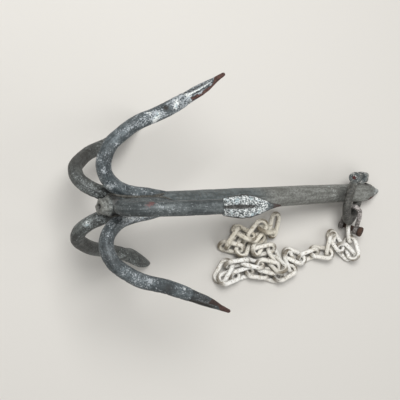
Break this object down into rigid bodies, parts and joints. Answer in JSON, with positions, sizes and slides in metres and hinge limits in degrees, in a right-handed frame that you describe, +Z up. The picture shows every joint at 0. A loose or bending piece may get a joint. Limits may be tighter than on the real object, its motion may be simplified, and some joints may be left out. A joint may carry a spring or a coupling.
{
  "type": "grapnel anchor",
  "caption": "Weathered galvanised grapnel anchor with forged leaf-pointed arms, a bow shackle, a small bolt shackle and a loose heap of white-coated chain.",
  "frame": {"origin": "on the floor, under the middle of the whole object's box, the anchor lying on two arm points and the tip of its shank", "axes": "+Z up, +X along the shank towards the shackles, +Y towards the port arm"},
  "size_m": [0.4782, 0.2836, 0.2335],
  "materials": {
    "galvanised_steel": "weathered hot-dip galvanised steel with white zinc scale and rust at the points",
    "rusted_steel": "dark scaly rust",
    "aged_white_coating": "chalky off-white coating on steel chain, chipped and stained"
  },
  "bodies": {
    "anchor": {"shank": "galvanised_steel", "arm_port": "galvanised_steel", "arm_rear_port": "galvanised_steel", "arm_rear_starboard": "galvanised_steel", "arm_starboard": "galvanised_steel", "arm_top": "galvanised_steel"},
    "bow_shackle_body": {"bow_shackle": "galvanised_steel", "bow_shackle_pin": "rusted_steel"},
    "small_shackle_body": {"small_shackle": "galvanised_steel", "small_shackle_bolt": "rusted_steel"},
    "link_01": {"chain_link_01": "aged_white_coating"},
    "link_02": {"chain_link_02": "aged_white_coating"},
    "link_03": {"chain_link_03": "aged_white_coating"},
    "link_04": {"chain_link_04": "aged_white_coating"},
    "link_05": {"chain_link_05": "aged_white_coating"},
    "link_06": {"chain_link_06": "aged_white_coating"},
    "link_07": {"chain_link_07": "aged_white_coating"},
    "link_08": {"chain_link_08": "aged_white_coating"},
    "heap": {"chain_link_09": "aged_white_coating", "chain_link_10": "aged_white_coating", "chain_link_11": "aged_white_coating", "chain_link_12": "aged_white_coating", "chain_link_13": "aged_white_coating", "chain_link_14": "aged_white_coating", "chain_link_15": "aged_white_coating", "chain_link_16": "aged_white_coating", "chain_link_17": "aged_white_coating", "chain_link_18": "aged_white_coating", "chain_link_19": "aged_white_coating", "chain_link_20": "aged_white_coating", "chain_link_21": "aged_white_coating", "chain_link_22": "aged_white_coating", "chain_link_23": "aged_white_coating", "chain_link_24": "aged_white_coating", "chain_link_25": "aged_white_coating", "chain_link_26": "aged_white_coating", "chain_link_27": "aged_white_coating", "chain_link_28": "aged_white_coating"},
    "link_29": {"chain_link_29": "aged_white_coating"},
    "link_30": {"chain_link_30": "aged_white_coating"}
  },
  "joints": [
    {"name": "bow_shackle_swing", "type": "hinge", "parent": "anchor", "child": "bow_shackle_body", "pos_m": [0.19976, -0.00954, 0.01615], "axis": [0.1719, 0.9809, 0.091], "range_deg": [0, 15]},
    {"name": "small_shackle_swing", "type": "hinge", "parent": "bow_shackle_body", "child": "small_shackle_body", "pos_m": [0.18022, -0.04514, 0.02569], "axis": [0.7253, 0.2902, -0.6243], "range_deg": [-12, 6]},
    {"name": "link_01_turn", "type": "hinge", "parent": "small_shackle_body", "child": "link_01", "pos_m": [0.18266, -0.05884, 0.0147], "axis": [0.6724, -0.3993, 0.6233], "range_deg": [-6, 10]},
    {"name": "link_02_turn", "type": "hinge", "parent": "link_01", "child": "link_02", "pos_m": [0.19237, -0.07903, 0.0045], "axis": [0.6045, 0.7031, -0.3745], "range_deg": [-12, 5]},
    {"name": "link_03_turn", "type": "hinge", "parent": "link_02", "child": "link_03", "pos_m": [0.18973, -0.1054, 0.01435], "axis": [0.764, 0.0159, 0.645], "range_deg": [-2, 8]},
    {"name": "link_04_turn", "type": "hinge", "parent": "link_03", "child": "link_04", "pos_m": [0.17306, -0.08262, 0.01369], "axis": [-0.9425, 0.0791, -0.3246], "range_deg": [-3, 10]},
    {"name": "link_05_turn", "type": "hinge", "parent": "link_04", "child": "link_05", "pos_m": [0.16778, -0.07061, 0.00412], "axis": [-0.5071, 0.8415, -0.1863], "range_deg": [-3, 4]},
    {"name": "link_06_turn", "type": "hinge", "parent": "link_05", "child": "link_06", "pos_m": [0.14884, -0.09698, 0.01001], "axis": [0.4534, -0.683, -0.5727], "range_deg": [-8, 10]},
    {"name": "link_07_turn", "type": "hinge", "parent": "link_06", "child": "link_07", "pos_m": [0.13651, -0.08644, 0.00397], "axis": [-0.9716, 0.1538, -0.1799], "range_deg": [-3, 5]},
    {"name": "link_08_turn", "type": "hinge", "parent": "link_07", "child": "link_08", "pos_m": [0.10837, -0.09377, 0.01325], "axis": [-0.88, -0.4564, -0.1313], "range_deg": [-5, 6]},
    {"name": "heap_turn", "type": "hinge", "parent": "link_08", "child": "heap", "pos_m": [0.08621, -0.09848, 0.01045], "axis": [0.8251, -0.5163, 0.2292], "range_deg": [-4, 4]},
    {"name": "link_29_turn", "type": "hinge", "parent": "heap", "child": "link_29", "pos_m": [0.04583, -0.05709, 0.02315], "axis": [0.5799, 0.7946, 0.1799], "range_deg": [-12, 12]},
    {"name": "link_30_turn", "type": "hinge", "parent": "link_29", "child": "link_30", "pos_m": [0.0645, -0.06048, 0.01505], "axis": [0.5745, 0.0765, -0.8149], "range_deg": [-8, 12]}
  ]
}
